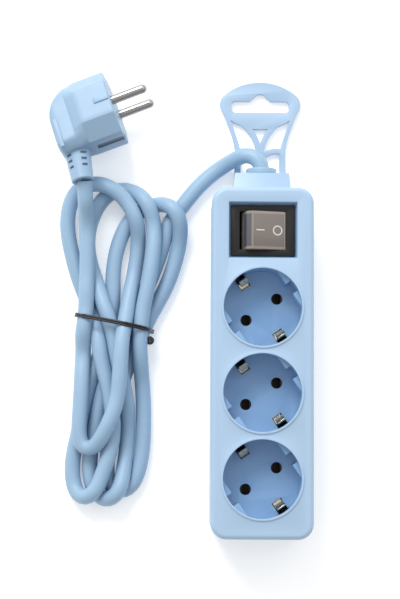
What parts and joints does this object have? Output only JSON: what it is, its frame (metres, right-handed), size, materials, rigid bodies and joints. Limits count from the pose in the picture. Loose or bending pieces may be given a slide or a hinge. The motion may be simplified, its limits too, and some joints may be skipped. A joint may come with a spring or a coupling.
{
  "type": "power extension block",
  "caption": "Socket block with a rocker switch, hang tab and a tied-up lead ending in an angled plug, lying face up on its back.",
  "frame": {"origin": "centre of the block's and hang tab's box, on the flat back that it lies on", "axes": "+Y along the block towards the hang tab, +X across it to the right seen from above, +Z out of the socket face"},
  "size_m": [0.1351, 0.236, 0.0409],
  "materials": {
    "housing_blue": "satin moulded plastic",
    "cord_blue": "soft sheath",
    "plug_blue": "soft overmoulded plug",
    "switch_black": "satin",
    "rocker_smoke": "smoked translucent, glossy",
    "mark_white": "printed mark",
    "contact_brass": "stamped strip",
    "pin_nickel": "nickel plated, polished",
    "screw_steel": "zinc plated",
    "clamp_nylon": "natural nylon",
    "tie_black": "plastic coated wire",
    "lamp_glass": "clear neon bulb",
    "core_brown": "core insulation",
    "core_blue": "core insulation",
    "core_green": "core insulation, green and yellow"
  },
  "bodies": {
    "root": {"top_cover": "housing_blue", "base_shell": "housing_blue", "housing_screws": "screw_steel", "cord_bushing": "cord_blue", "inner_sheath": "cord_blue", "cord_clamp": "clamp_nylon", "clamp_screws": "screw_steel", "live_bar": "contact_brass", "neutral_bar": "contact_brass", "earth_bar": "contact_brass", "earth_clip_1": "contact_brass", "earth_clip_2": "contact_brass", "earth_clip_3": "contact_brass", "earth_rivets": "contact_brass", "switch_housing": "switch_black", "switch_terminals": "pin_nickel", "indicator_lamp": "lamp_glass", "live_wire": "core_brown", "neutral_wire": "core_blue", "earth_wire": "core_green", "switched_live_wire": "core_brown", "switched_neutral_wire": "core_blue", "cord_lead": "cord_blue", "cord_hank": "cord_blue", "cord_tail": "cord_blue", "cord_tie": "tie_black", "plug_body": "plug_blue", "plug_bridge": "plug_blue", "plug_pins": "pin_nickel", "plug_earth_contacts": "pin_nickel", "plug_earth_sleeve": "pin_nickel"},
    "rocker": {"rocker": "rocker_smoke", "plungers": "clamp_nylon", "plunger_springs": "screw_steel"},
    "seesaw": {"seesaw_contacts": "contact_brass"}
  },
  "joints": [
    {"name": "rocker_tip", "type": "hinge", "parent": "root", "child": "rocker", "pos_m": [0, 0.0352, 0.028], "axis": [0, -1, 0], "range_deg": [0, 30]},
    {"name": "seesaw_tip", "type": "hinge", "parent": "root", "child": "seesaw", "pos_m": [0, 0.0352, 0.0222], "axis": [0, 1, 0], "range_deg": [0, 16]}
  ],
  "couplings": [
    {"joint": "seesaw_tip", "follows": "rocker_tip", "ratio": 0.53333}
  ]
}
